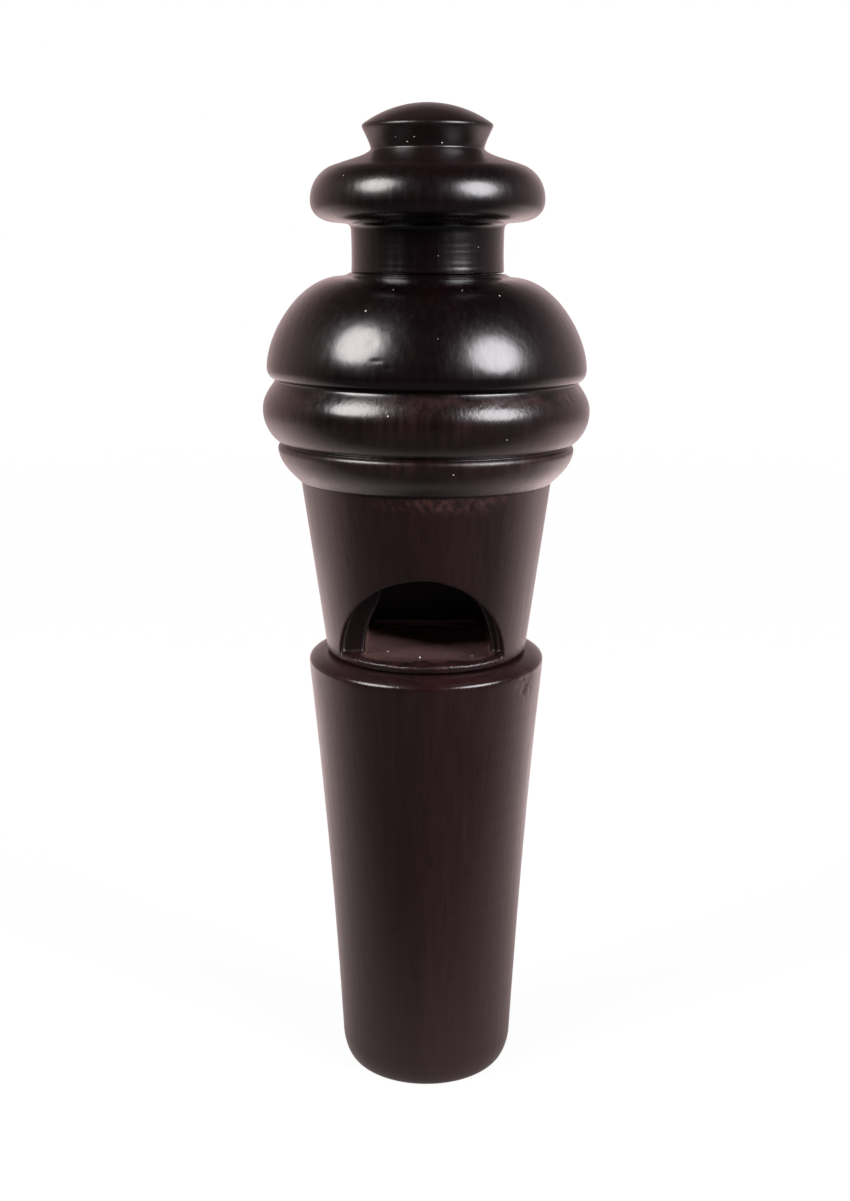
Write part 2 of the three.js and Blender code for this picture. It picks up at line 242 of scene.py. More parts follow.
def turned(name, path, closed=False, carve=None):
    """Turns a path of (radius, height) about Z. An end on the axis closes to one point.
    carve(angle, radius, height) gives how far each point stands out along the surface's normal."""
    start_pole = not closed and path[0, 0] < 1e-6
    end_pole = not closed and path[-1, 0] < 1e-6
    rings = path[int(start_pole) : len(path) - int(end_pole)]
    ahead = np.roll(rings, -1, 0) - np.roll(rings, 1, 0)
    if not closed:
        ahead[0], ahead[-1] = rings[1] - rings[0], rings[-1] - rings[-2]
    ahead /= np.linalg.norm(ahead, axis=1)[:, None]
    outward = np.stack([ahead[:, 1], -ahead[:, 0]], 1)
    angle = np.arange(SIDES) * 2 * math.pi / SIDES
    a, r = np.meshgrid(angle, rings[:, 0])
    z = np.repeat(rings[:, 1][:, None], SIDES, 1)
    if carve is not None:
        out = carve(a, r, z)
        r, z = r + out * outward[:, 0][:, None], z + out * outward[:, 1][:, None]
    grid = np.stack([r * np.sin(a), -r * np.cos(a), z], -1).reshape(-1, 3)
    count = len(rings)
    faces = []
    for i in range(count if closed else count - 1):
        low, high = i * SIDES, (i + 1) % count * SIDES
        for j in range(SIDES):
            k = (j + 1) % SIDES
            faces.append((low + j, low + k, high + k, high + j))
    vertices = grid.tolist()
    if start_pole:
        vertices.append([0, 0, path[0, 1]])
        faces += [((j + 1) % SIDES, j, len(vertices) - 1) for j in range(SIDES)]
    if end_pole:
        vertices.append([0, 0, path[-1, 1]])
        last = (count - 1) * SIDES
        faces += [(last + j, last + (j + 1) % SIDES, len(vertices) - 1) for j in range(SIDES)]
    return new_object(name, vertices, faces)


def vertices_mm(piece):
    """A piece's vertices in millimetres, one row each."""
    flat = np.zeros(len(piece.data.vertices) * 3)
    piece.data.vertices.foreach_get("co", flat)
    return flat.reshape(-1, 3) / MM


def angle_and_radius(points):
    """Where points lie round the call, and how far out."""
    return np.arctan2(points[:, 0], -points[:, 1]), np.hypot(points[:, 0], points[:, 1])


def hump(values, middle, spread):
    """1 at the middle, falling off smoothly on both sides."""
    return np.exp(-(((values - middle) / spread) ** 2))


def wander(*coordinates, seed, waves=7):
    """A smooth made-up unevenness of about -1 to 1, the same on every run."""
    draw = np.random.RandomState(seed)
    total = 0
    for _ in range(waves):
        phase = draw.uniform(0, 2 * math.pi)
        for c in coordinates:
            phase = phase + draw.normal() * c
        total = total + np.sin(phase)
    return total / math.sqrt(waves)


def around(angle):
    """Unit circle coordinates, so that an unevenness closes on itself."""
    return np.sin(angle), -np.cos(angle)


def spot(angle, radius, height, at_degrees, at_height, across, tall):
    """1 at a place on the surface, falling to 0 over across and tall millimetres."""
    offset = (angle - math.radians(at_degrees) + math.pi) % (2 * math.pi) - math.pi
    return np.exp(-((offset * radius / across) ** 2) - ((height - at_height) / tall) ** 2)


def soft_min(a, b, blend):
    """The lesser of two fields, rounded where they meet."""
    h = np.maximum(blend - np.abs(a - b), 0) / blend
    return np.minimum(a, b) - h * h * blend / 4


def soft_max(a, b, blend):
    """The greater of two fields, rounded where they meet."""
    return -soft_min(-a, -b, blend)


def skinned(name, field, low, high, cell):
    """The surface where a field of (x, y, z) is zero, negative inside, as one even mesh."""
    low, high = np.asarray(low, float) - 2.5 * cell, np.asarray(high, float) + 2.5 * cell
    axes = [np.arange(low[k], high[k], cell, dtype=np.float32) for k in range(3)]
    value = field(*np.meshgrid(*axes, indexing="ij", sparse=True)).astype(np.float32)
    inside = value < 0
    shape = np.array(value.shape)

    total = np.zeros((*(shape - 1), 3), np.float32)
    hits = np.zeros(shape - 1, np.float32)
    quads = []
    number = -np.ones(shape - 1, np.int64)
    crossings = []
    for k in range(3):
        near = [slice(None)] * 3
        far = [slice(None)] * 3
        near[k], far[k] = slice(0, -1), slice(1, None)
        crossed = inside[tuple(near)] != inside[tuple(far)]
        at = np.argwhere(crossed)
        a, b = value[tuple(near)][crossed], value[tuple(far)][crossed]
        place = at.astype(np.float32)
        place[:, k] += a / (a - b)
        crossings.append((k, at, a < 0))
        u, v = [m for m in range(3) if m != k]
        for du in (0, -1):
            for dv in (0, -1):
                cells = at.copy()
                cells[:, u] += du
                cells[:, v] += dv
                index = tuple(cells.T)
                np.add.at(total, index, place)
                np.add.at(hits, index, 1)
    active = hits > 0
    number[active] = np.arange(active.sum())
    points = total[active] / hits[active][:, None] * cell + low
    for k, at, leaving in crossings:
        u, v = (k + 1) % 3, (k + 2) % 3
        corners = []
        for du, dv in ((0, 0), (-1, 0), (-1, -1), (0, -1)):
            cells = at.copy()
            cells[:, u] += du
            cells[:, v] += dv
            corners.append(number[tuple(cells.T)])
        quad = np.stack(corners, 1)
        quad[~leaving] = quad[~leaving][:, ::-1]
        quads.append(quad)
    faces = np.concatenate(quads)

    def slope(p):
        """The field's gradient at some points."""
        e = cell * 0.1
        parts = []
        for k in range(3):
            d = np.zeros(3)
            d[k] = e
            parts.append((field(*(p + d).T) - field(*(p - d).T)) / (2 * e))
        return np.stack(parts, 1)

    start = points.copy()
    for _ in range(4):
        g = slope(points)
        move = -field(*points.T)[:, None] * g / np.maximum((g * g).sum(1), 0.05)[:, None]
        points = start + np.clip(points + move - start, -cell, cell)
    piece = new_object(name, points, faces)
    normals = slope(points)
    normals /= np.maximum(np.linalg.norm(normals, axis=1), 1e-6)[:, None]
    piece.data.normals_split_custom_set_from_vertices(normals.tolist())
    return piece, points


def swept(name, centres, radius, sides):
    """A round thread along a line of points, closed at both ends."""
    centres = np.asarray(centres, float)
    ahead = np.gradient(centres, axis=0)
    ahead /= np.linalg.norm(ahead, axis=1)[:, None]
    side = np.cross(ahead, [0, 0, 1])
    side /= np.linalg.norm(side, axis=1)[:, None]
    up = np.cross(side, ahead)
    turn = np.arange(sides) * 2 * math.pi / sides
    ring = side[:, None] * np.cos(turn)[None, :, None] + up[:, None] * np.sin(turn)[None, :, None]
    vertices = (centres[:, None] + ring * radius).reshape(-1, 3)
    faces = []
    for i in range(len(centres) - 1):
        for j in range(sides):
            k = (j + 1) % sides
            faces.append((i * sides + k, i * sides + j, (i + 1) * sides + j, (i + 1) * sides + k))
    faces.append(tuple(range(sides)))
    faces.append(tuple(range(len(vertices) - 1, len(vertices) - 1 - sides, -1)))
    return new_object(name, vertices, faces)


# ---------------------------------------------------------------------------------------------------------
# Finishes


class Nodes:
    """Shorthand for building one material's nodes."""

    def __init__(self, name):
        self.material = bpy.data.materials.new(name)
        self.material.use_nodes = True
        self.tree = self.material.node_tree
        self.tree.nodes.clear()
        self.shader = self.add("ShaderNodeBsdfPrincipled")
        output = self.add("ShaderNodeOutputMaterial")
        self.join(self.shader.outputs[0], output.inputs["Surface"])
        self.place = self.add("ShaderNodeTexCoord").outputs["Object"]

    def add(self, kind, **settings):
        node = self.tree.nodes.new(kind)
        for key, value in settings.items():
            setattr(node, key, value)
        return node

    def join(self, output, socket):
        self.tree.links.new(output, socket)

    def fill(self, socket, value):
        """Joins another node's socket, or sets a plain value."""
        if isinstance(value, bpy.types.NodeSocket):
            self.join(value, socket)
        else:
            socket.default_value = value

    def noise(self, scale, stretch, detail=3.0, roughness=0.55, distortion=0.0):
        """Noise with its features stretched along Z, scale in features per metre."""
        mapping = self.add("ShaderNodeMapping")
        self.join(self.place, mapping.inputs["Vector"])
        mapping.inputs["Scale"].default_value = (1, 1, 1 / stretch)
        noise = self.add("ShaderNodeTexNoise")
        self.join(mapping.outputs[0], noise.inputs["Vector"])
        noise.inputs["Scale"].default_value = scale
        noise.inputs["Detail"].default_value = detail
        noise.inputs["Roughness"].default_value = roughness
        noise.inputs["Distortion"].default_value = distortion
        return noise.outputs["Fac"]

    def range(self, value, low, high, to_low=0.0, to_high=1.0):
        node = self.add("ShaderNodeMapRange", clamp=True)
        self.join(value, node.inputs["Value"])
        node.inputs["From Min"].default_value = low
        node.inputs["From Max"].default_value = high
        self.fill(node.inputs["To Min"], to_low)
        self.fill(node.inputs["To Max"], to_high)
        return node.outputs[0]

    def math(self, operation, a, b=0.0):
        node = self.add("ShaderNodeMath", operation=operation)
        self.fill(node.inputs[0], a)
        self.fill(node.inputs[1], b)
        return node.outputs[0]

    def mix(self, factor, a, b):
        node = self.add("ShaderNodeMix", data_type="RGBA")
        self.fill(node.inputs[0], factor)
        self.fill(node.inputs[6], a)
        self.fill(node.inputs[7], b)
        return node.outputs[2]

    def attribute(self, name):
        return self.add("ShaderNodeAttribute", attribute_name=name).outputs["Fac"]

    def bump(self, height, distance, below=None):
        node = self.add("ShaderNodeBump")
        self.join(height, node.inputs["Height"])
        node.inputs["Distance"].default_value = distance
        node.inputs["Strength"].default_value = 1.0
        if below is not None:
            self.join(below, node.inputs["Normal"])
        return node.outputs[0]


DULL_WOOD = (0.0125, 0.0042, 0.0048, 1)
WORN_WOOD = (0.034, 0.012, 0.012, 1)
OLD_POLISH = (0.075, 0.027, 0.0245, 1)
# Painted light: a pale colour laid on the chamber floor, where the lamps hardly reach.
FLOOR_LIGHT_COLOUR = (0.78, 0.46, 0.42, 1)
TORN_DEPTH = 0.00006


def darker(colour, factor):
    return (*[c * factor for c in colour[:3]], 1)


def rosewood(
    name, dark, light, red, rough, rough_spread, grain_depth, pore_depth,
    peel_depth=0, coat=0, coat_rough=0,
):
    """Dark rosewood: long streaks along Z, fine fibres and open pores. The painted marks change it: 'wear'
    is rubbed bare, 'residue' is old polish, 'dull' has lost its shine and 'torn' has ragged grain. The
    floor mark is painted light: a pale grainy colour that stands in for the lamps' light on the chamber
    floor. Below 0, 'dull' is a shine from handling."""
    n = Nodes(name)
    streaks = n.noise(150, 14, detail=4, distortion=0.6)
    fibres = n.noise(1300, 26, detail=4, roughness=0.65)
    pores = n.noise(2600, 16, detail=1, roughness=0.4)
    patches = n.noise(90, 2.5, detail=2)
    wear = n.attribute("wear")
    residue = n.attribute("residue")
    dull = n.attribute("dull")
    painted_floor_light = n.attribute("painted_floor_light")

    colour = n.mix(n.range(streaks, 0.34, 0.68), dark, light)
    colour = n.mix(n.range(n.noise(60, 5, detail=2), 0.5, 0.72, 0.0, 0.6), colour, red)
    colour = n.mix(n.range(fibres, 0.3, 0.7, 0.4, 0.0), colour, darker(dark, 0.45))
    open_pores = n.range(pores, 0.64, 0.72)
    colour = n.mix(n.math("MULTIPLY", open_pores, 0.4), colour, darker(dark, 0.3))
    colour = n.mix(n.math("MULTIPLY", dull, 0.6), colour, DULL_WOOD)
    rubbed = n.math("MULTIPLY", wear, n.range(fibres, 0.35, 0.6, 0.25, 0.9))
    colour = n.mix(rubbed, colour, WORN_WOOD)
    mottle = n.range(n.noise(1400, 1.3, detail=3), 0.4, 0.62)
    colour = n.mix(n.math("MULTIPLY", residue, mottle), colour, OLD_POLISH)
    # Painted light on the chamber floor: a pale, grainy colour mixed in where the floor mark is set.
    floor_light_mottle = n.range(n.noise(1100, 1, detail=4, roughness=0.7), 0.35, 0.7, 0.7, 1.0)
    colour = n.mix(n.math("MULTIPLY", painted_floor_light, floor_light_mottle), colour, FLOOR_LIGHT_COLOUR)
    n.join(colour, n.shader.inputs["Base Color"])

    smear = n.range(patches, 0.35, 0.7, rough, rough + rough_spread)
    roughness = n.math("ADD", smear, n.range(fibres, 0.4, 0.75, 0.0, rough_spread))
    for mark, added in ((wear, 0.1), (residue, 0.15), (dull, 0.2), (painted_floor_light, 0.4)):
        roughness = n.math("ADD", roughness, n.math("MULTIPLY", mark, added))
    n.join(roughness, n.shader.inputs["Roughness"])

    height = n.math("SUBTRACT", fibres, n.math("MULTIPLY", open_pores, pore_depth))
    normal = n.bump(height, grain_depth)
    ragged = n.math("MULTIPLY", n.noise(2300, 1.6, detail=2), n.attribute("torn"))
    normal = n.bump(ragged, TORN_DEPTH, below=normal)
    if peel_depth > 0:
        normal = n.bump(n.noise(900, 1.5, detail=1), peel_depth, below=normal)
    n.join(normal, n.shader.inputs["Normal"])
    n.shader.inputs["IOR"].default_value = 1.5
    if coat > 0:
        n.join(n.math("MULTIPLY", n.math("SUBTRACT", 1.0, dull), coat), n.shader.inputs["Coat Weight"])
        n.shader.inputs["Coat Roughness"].default_value = coat_rough
    return n.material


def oiled_board(name):
    """The plain hardwood of the tone board and wedge."""
    n = Nodes(name)
    streaks = n.noise(260, 16, detail=5, distortion=0.4)
    fibres = n.noise(2200, 22, detail=3, roughness=0.6)
    colour = n.mix(n.range(streaks, 0.3, 0.7), (0.07, 0.033, 0.02, 1), (0.19, 0.1, 0.06, 1))
    colour = n.mix(n.range(fibres, 0.3, 0.65, 0.5, 0.0), colour, (0.03, 0.014, 0.009, 1))
    n.join(colour, n.shader.inputs["Base Color"])
    n.join(n.range(fibres, 0.3, 0.8, 0.42, 0.62), n.shader.inputs["Roughness"])
    n.join(n.bump(fibres, 0.00006), n.shader.inputs["Normal"])
    return n.material


def waxed_thread(name):
    """Waxed linen: twisted plies with a dull shine."""
    n = Nodes(name)
    plies = n.noise(5200, 0.35, detail=2)
    dirt = n.noise(420, 1, detail=3)
    colour = n.mix(n.range(plies, 0.3, 0.7), (0.2, 0.13, 0.06, 1), (0.5, 0.37, 0.19, 1))
    colour = n.mix(n.range(dirt, 0.45, 0.75, 0.0, 0.7), colour, (0.11, 0.07, 0.04, 1))
    n.join(colour, n.shader.inputs["Base Color"])
    n.join(n.range(plies, 0.3, 0.7, 0.75, 0.5), n.shader.inputs["Roughness"])
    n.join(n.bump(plies, 0.00008), n.shader.inputs["Normal"])
    return n.material


def rolled_brass(name):
    """Thin rolled brass, brushed along its length and a little tarnished."""
    n = Nodes(name)
    brush = n.noise(5200, 60, detail=2)
    tarnish = n.noise(240, 1.6, detail=4)
    colour = n.mix(n.range(tarnish, 0.42, 0.7), (0.78, 0.56, 0.24, 1), (0.42, 0.25, 0.1, 1))
    n.join(colour, n.shader.inputs["Base Color"])
    rough = n.math("ADD", n.range(brush, 0.3, 0.7, 0.2, 0.36), n.range(tarnish, 0.4, 0.7, 0.0, 0.18))
    n.join(rough, n.shader.inputs["Roughness"])
    n.join(n.bump(brush, 0.00001), n.shader.inputs["Normal"])
    n.shader.inputs["Metallic"].default_value = 1.0
    return n.material


def pale_dust(name):
    """Grey to cream grains."""
    n = Nodes(name)
    tone = n.noise(9000, 1, detail=1)
    n.join(n.mix(tone, (0.35, 0.3, 0.26, 1), (0.75, 0.7, 0.64, 1)), n.shader.inputs["Base Color"])
    n.shader.inputs["Roughness"].default_value = 0.8
    return n.material


satin_wood = rosewood(
    "satin_rosewood",
    dark=(0.0095, 0.0029, 0.0035, 1),
    light=(0.0165, 0.0052, 0.0058, 1),
    red=(0.027, 0.0078, 0.0075, 1),
    rough=0.31,
    rough_spread=0.06,
    grain_depth=0.00002,
    pore_depth=0.4,
)
polished_wood = rosewood(
    "polished_rosewood",
    dark=(0.0014, 0.0002, 0.0005, 1),
    light=(0.0036, 0.0008, 0.0012, 1),
    red=(0.0075, 0.0017, 0.0018, 1),
    rough=0.2,
    rough_spread=0.07,
    grain_depth=0.000006,
    pore_depth=0.5,
    peel_depth=0.00002,
    coat=0.2,
    coat_rough=0.18,
)
board_wood = oiled_board("oiled_board")
thread = waxed_thread("waxed_thread")
brass = rolled_brass("rolled_brass")
dust = pale_dust("pale_dust")


def finish(piece, material, body, slot, *nodes):
    """Gives a piece its material, and says what it rides on and stands for."""
    piece.data.materials.append(material)
    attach(piece, body)
    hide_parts(*nodes)


# ---------------------------------------------------------------------------------------------------------
# Mouthpiece barrel


def barrel_outline():
    """Flat lip, long taper, sloping shoulder, socket for the tenon and mouth bore."""
    top = BARREL_LENGTH + GAP / 2 - SEAM
    taper_top = top - SHOULDER_DROP
    socket_floor = BARREL_LENGTH - SOCKET_DEPTH
    o = Outline(MOUTH_BORE_R + MOUTH_ROUND, 0)
    o.line(LIP_FLAT_R, 0)
    o.curve(LIP_FLAT_R + 0.9, 0, BARREL_FOOT_R - 0.15, LIP_ROUND - 1.8, BARREL_FOOT_R, LIP_ROUND)
    o.bend(BARREL_WAIST_R, (LIP_ROUND + taper_top) / 2, BARREL_TOP_R, taper_top)
    o.curve(
        BARREL_TOP_R + 0.03, taper_top + 0.35,
        BARREL_TOP_R - 0.1, taper_top + 0.6,
        BARREL_TOP_R - 0.5, taper_top + 0.8,
    )
    o.curve(
        BARREL_TOP_R - 1.0, taper_top + 1.05,
        BARREL_TOP_R - 1.5, top - 0.05,
        BARREL_TOP_R - SHOULDER_WIDTH, top,
    )
    o.line(SOCKET_R + 0.4, top)
    o.line(SOCKET_R, top - 0.4)
    o.line(SOCKET_R, socket_floor)
    o.line(MOUTH_BORE_R, socket_floor)
    o.line(MOUTH_BORE_R, MOUTH_ROUND)
    o.bend(MOUTH_BORE_R, 0, MOUTH_BORE_R + MOUTH_ROUND, 0)
    return o.worn(2, closed=True)


BRUISE_AT = 56  # degrees
BRUISE_HEIGHT = BARREL_LENGTH - 2.6


def barrel_wear(angle, radius, height):
    """Faint flats and hollows of a hand-held piece, and one chip low on the shoulder."""
    x, y = around(angle)
    outer = radius > MOUTH_BORE_R + 2.2
    flats = 0.03 * wander(x * 2.2, y * 2.2, height / 17, seed=3)
    ripple = 0.008 * wander(x * 1.2, y * 1.2, height * 3.1, seed=8)
    chip = 0.13 * spot(angle, radius, height, BRUISE_AT, BRUISE_HEIGHT, 1.5, 1.2)
    chip = chip * (1 + 0.8 * wander(x * 40, y * 40, height * 4, seed=5))
    nibble = 0.07 * spot(angle, radius, height, BRUISE_AT + 2, BARREL_LENGTH - 1.2, 0.8, 0.5)
    return np.where(outer, flats + ripple - chip - nibble, 0) * np.clip(height / 2, 0, 1)


def barrel_attributes(piece):
    """The shoulder's arris is polished by handling, and the bruise shows torn and bare wood."""
    p = vertices_mm(piece)
    angle, radius = angle_and_radius(p)
    arris = BARREL_LENGTH - SHOULDER_DROP + 0.5
    shoulder = hump(p[:, 2], arris, 0.5) * (radius > BARREL_WAIST_R - 0.15)
    paint(piece, "dull", -0.75 * shoulder)
    bruise = spot(angle, radius, p[:, 2], BRUISE_AT, BRUISE_HEIGHT, 1.9, 1.5)
    paint(piece, "torn", np.clip(bruise * 1.5, 0, 1))
    paint(piece, "wear", np.clip(bruise * 0.8, 0, 1))


barrel = turned("barrel_of_rosewood", barrel_outline(), closed=True, carve=barrel_wear)
barrel_attributes(barrel)
finish(barrel, satin_wood, "barrel", "satin_wood", "mouthpiece_barrel")


# ---------------------------------------------------------------------------------------------------------
# Sound body, with its window, chamber, bores and the groove for the lapping


def arch_field(x, z, middle, half_width, low, height):
    """Distance-like field of a half ellipse standing on z = low."""
    u, v = (x - middle) / half_width, (z - low) / height
    ellipse = (np.sqrt(u * u + v * v + 1e-6) - 1) * min(half_width, height)
    return soft_max(ellipse, low - z, 0.5)


def body_field(x, y, z):
    """The cone and tenon, less the window, chamber, reed bore and the airway between the two."""
    radius = np.sqrt(x * x + y * y)
    foot = BARREL_LENGTH + GAP / 2
    top = CONE_TOP + GAP - SEAM
    slope = (CONE_TOP_R - CONE_FOOT_R) / (CONE_TOP - BARREL_LENGTH - GAP)
    cone = (radius - CONE_FOOT_R - slope * (z - foot)) / math.sqrt(1 + slope * slope)
    cone = cone - 0.02 * wander(x / 6, y / 6, z / 6, seed=21)
    up = x * up_the_head[0] + y * up_the_head[1] + (z - BIG_BEAD_MIDDLE) * up_the_head[2]
    cone = soft_max(soft_max(cone, foot - z, 0.55), up + BIG_BEAD_MIDDLE - top, 0.1)
    tenon = soft_max(soft_max(radius - TENON_R, TENON_LOW - z, 0.9), z - foot - 1, 0.2)
    groove = soft_max(soft_max(GROOVE_R - radius, GROOVE_LOW - z, 0.2), z - GROOVE_HIGH, 0.2)
    solid = soft_min(cone, soft_max(tenon, -groove, 0.3), 0.25)

    sill = WINDOW_SILL + 0.05 * wander(x / 1.7, y / 2.5, seed=33) + 0.035 * wander(x * 3, y * 2, seed=34)
    window = arch_field(x, z, WINDOW_X, WINDOW_HALF_WIDTH, sill, WINDOW_HEIGHT)
    window = soft_max(window, y - WINDOW_DEPTH_Y - 0.1 * wander(x / 2, z / 3, seed=35), 0.6)
    floor = CHAMBER_FLOOR + 0.02 * wander(x / 1.2, y / 1.5, seed=36)
    chamber = soft_max(radius - CHAMBER_R, floor - z, 0.3)
    mortise = arch_field(x, z, MORTISE_X, MORTISE_HALF_WIDTH, floor, MORTISE_HEIGHT)
    mortise = soft_max(soft_max(mortise, MORTISE_FRONT_Y - y, 0.5), y - MORTISE_BACK_Y, 0.5)
    mortise = soft_max(mortise, radius - MORTISE_R, 0.5)
    bore = soft_max(soft_max(radius - REED_BORE_R, z - REED_BORE_TOP, 0.4), TENON_LOW - 3 - z, 0.2)

    rise = (CHAMBER_FLOOR - AIRWAY_LOW) / (AIRWAY_BACK_Y - REED_BORE_R + 1)
    behind = (AIRWAY_LOW + rise * (y - REED_BORE_R + 1) - z) / math.hypot(1, rise)
    lift = (CHAMBER_FLOOR - REED_BORE_TOP) / (AIRWAY_FRONT_Y - REED_BORE_R + 1)
    ahead = (z - REED_BORE_TOP - lift * (y - REED_BORE_R + 1)) / math.hypot(1, lift)
    airway = soft_max(soft_max(behind, ahead, 0.2), np.abs(x) - AIRWAY_HALF_WIDTH, 0.4)
    airway = soft_max(soft_max(airway, y - AIRWAY_BACK_Y, 0.2), z - CHAMBER_FLOOR - 1, 0.2)
    airway = soft_max(airway, REED_BORE_R - 1 - y, 0.2)

    hollow = soft_min(soft_min(chamber, mortise, 0.9), soft_min(bore, airway, 0.2), 0.2)
    hollow = soft_min(hollow, window, 0.5)
    return soft_max(solid, -hollow, 0.45)


def body_attributes(piece, p):
    """Old polish under the small bead, painted light on the floor behind the window, and a rubbed sill and
    foot.
    """
    angle, radius = angle_and_radius(p)
    old_polish = spot(angle, radius, p[:, 2], 9, CONE_TOP - 0.1, 7.0, 1.2)
    ragged = 0.35 * wander(*(p * [1.1, 1.1, 2.2]).T, seed=41)
    ragged = ragged + 0.4 * wander(*(p * [6.5, 6.5, 4.5]).T, seed=43)
    paint(piece, "residue", np.clip(old_polish * (0.9 + ragged) - 0.1, 0, 0.7))

    # Painted light: the floor behind the window gets a pale colour that grows towards the back, where the
    # lamps reach least.
    on_floor = (np.abs(p[:, 2] - CHAMBER_FLOOR) < 0.35) & (radius < MORTISE_R - 0.2)
    deep = np.clip((p[:, 1] + 11.0) / 13, 0, 1)
    paint(piece, "painted_floor_light", on_floor * (0.03 * (deep > 0) + 0.97 * deep**2.2))

    near_sill = hump(p[:, 2], WINDOW_SILL, 0.35) * (p[:, 1] < -9)
    near_foot = hump(p[:, 2], BARREL_LENGTH + GAP, 0.3)
    outside = radius > 11
    scuffs = 0.5 + 0.5 * wander(*(p * [1.8, 1.8, 0.6]).T, seed=42)
    paint(piece, "wear", np.clip((near_sill * 0.5 + near_foot * 0.6) * scuffs, 0, 1) * outside)
    paint(piece, "torn", np.clip((near_sill + near_foot) * (0.4 + scuffs), 0, 1) * outside)


body_high[2] = CONE_TOP + CONE_TOP_RISE
sound_body, body_points = skinned("sound_body_of_rosewood", body_field, body_low, body_high, BODY_CELL)
body_attributes(sound_body, body_points)
finish(sound_body, satin_wood, "insert", "satin_wood", "sound_body")


# ---------------------------------------------------------------------------------------------------------
# Head: plug, small bead, big bead and dome


def head_outline():
    """Plug, two beads, dome and the seat for the finial's tenon."""
    low = HEAD_LOW - GAP + SEAM
    plug_low = HEAD_LOW - PLUG_DEPTH
    seat_floor = HEAD_TOP - FINIAL_SEAT_DEPTH
    seam = NECK_LOW
    o = Outline(0, plug_low)
    o.line(PLUG_R - 0.5, plug_low)
    o.line(PLUG_R, plug_low + 0.5)
    o.line(PLUG_R, low)
    o.line(CONE_TOP_R + 0.1, low)
    o.curve(
        CONE_TOP_R + 1.2, low + 1.2,
        SMALL_BEAD_R - 0.2, SMALL_BEAD_TOP - 2.1,
        SMALL_BEAD_R, SMALL_BEAD_TOP,
    )
    o.curve(
        SMALL_BEAD_R, SMALL_BEAD_TOP + 0.3,
        BEAD_GROOVE_R + 0.1, BEAD_GROOVE - 0.1,
        BEAD_GROOVE_R, BEAD_GROOVE,
    )
    o.curve(
        BEAD_GROOVE_R + 1.1, BEAD_GROOVE + 0.4,
        BIG_BEAD_R, BIG_BEAD_MIDDLE - 2.1,
        BIG_BEAD_R, BIG_BEAD_MIDDLE,
    )
    o.curve(
        BIG_BEAD_R, BIG_BEAD_MIDDLE + 1.0,
        BIG_BEAD_R - 0.25, BIG_BEAD_MIDDLE + 1.85,
        DOME_GROOVE_R, DOME_GROOVE,
    )
    o.bend(DOME_R - 0.1, DOME_GROOVE + 0.25, DOME_R, DOME_WIDEST)
    o.curve(
        DOME_R, DOME_WIDEST + 4.2,
        DOME_R - 4.0, DOME_TOP - 0.4,
        HEAD_TOP_R + 1.3, DOME_TOP - 0.05,
    )
    o.bend(HEAD_TOP_R + 0.15, DOME_TOP, HEAD_TOP_R, seam)
    o.line(FINIAL_SEAT_R, seam)
    o.line(FINIAL_SEAT_R, seat_floor)
    o.line(0, seat_floor)
    return o.worn(2)


def head_wear(angle, radius, height):
    """Small dents in the dome and a rough patch of grain on top of the big bead."""
    x, y = around(angle)
    outer = (radius > HEAD_TOP_R + 0.2) & (height > HEAD_LOW)
    out = 0.012 * wander(x * 2.5, y * 2.5, height / 9, seed=11)
    for at, up, across, tall, depth in (
        (-19.5, 98.3, 0.45, 0.3, 0.05),
        (-17.0, 96.4, 0.5, 0.22, 0.05),
        (-12.5, 95.6, 0.4, 0.2, 0.04),
        (152.0, 98.0, 0.8, 0.5, 0.05),
    ):
        out = out - depth * spot(angle, radius, height, at, up, across, tall)
    torn = spot(angle, radius, height, 48, 91.6, 9.0, 0.7)
    out = out - 0.05 * torn * np.clip(wander(x * 90, y * 90, height * 5, seed=13), 0, 2)
    return np.where(outer, out, 0)


def put(piece, place):
    """Moves a piece's vertices by a matrix in millimetres."""
    to_mm = Matrix.Scale(1 / MM, 4)
    piece.data.transform(to_mm.inverted() @ place @ to_mm)
    piece.data.update()


def head_attributes(piece):
    """The beads are browner and duller than the dome, with rubbed edges and torn grain on the crests."""
    p = vertices_mm(piece)
    angle, radius = angle_and_radius(p)
    scuffs = 0.5 + 0.5 * wander(*(p * [1.1, 1.1, 0.7]).T, seed=15)
    small_edge = hump(p[:, 2], SMALL_BEAD_TOP, 0.3) * (radius > SMALL_BEAD_R - 0.7)
    big_edge = hump(p[:, 2], DOME_GROOVE - 0.7, 0.4) * (radius > DOME_GROOVE_R)
    torn = spot(angle, radius, p[:, 2], 42, 91.7, 11.0, 0.5)
    brown = np.clip(BIG_BEAD_MIDDLE + 3.2 - p[:, 2], 0, 1) * (radius > SMALL_BEAD_R - 2.5)
    brown = brown * (0.3 + 0.2 * wander(*(p * [0.35, 0.35, 0.6]).T, seed=17))
    rubbed = (small_edge + big_edge) * scuffs * 0.4
    paint(piece, "wear", np.clip(rubbed + torn * scuffs * 0.8 + brown, 0, 1))
    below_crest = np.clip((BIG_BEAD_MIDDLE + 0.4 - p[:, 2]) / 1.5, 0, 1)
    beads = 0.3 + 0.15 * wander(*(p * [0.25, 0.25, 0.4]).T, seed=16)
    paint(piece, "dull", np.clip(below_crest * beads, 0, 1))
    crest = hump(p[:, 2], BIG_BEAD_MIDDLE + 1.8, 1.1) * (0.55 + 0.45 * np.sin(angle))
    lip = hump(p[:, 2], SMALL_BEAD_TOP - 0.3, 0.5) * 0.7
    paint(piece, "torn", np.clip((crest + lip) * (radius > 17.5), 0, 1))


head = turned("head_of_rosewood", head_outline(), carve=head_wear)
head_attributes(head)
put(head, head_place)
finish(head, polished_wood, "insert", "polished_wood", "head")


# ---------------------------------------------------------------------------------------------------------
# Finial: neck, collar, waist and button


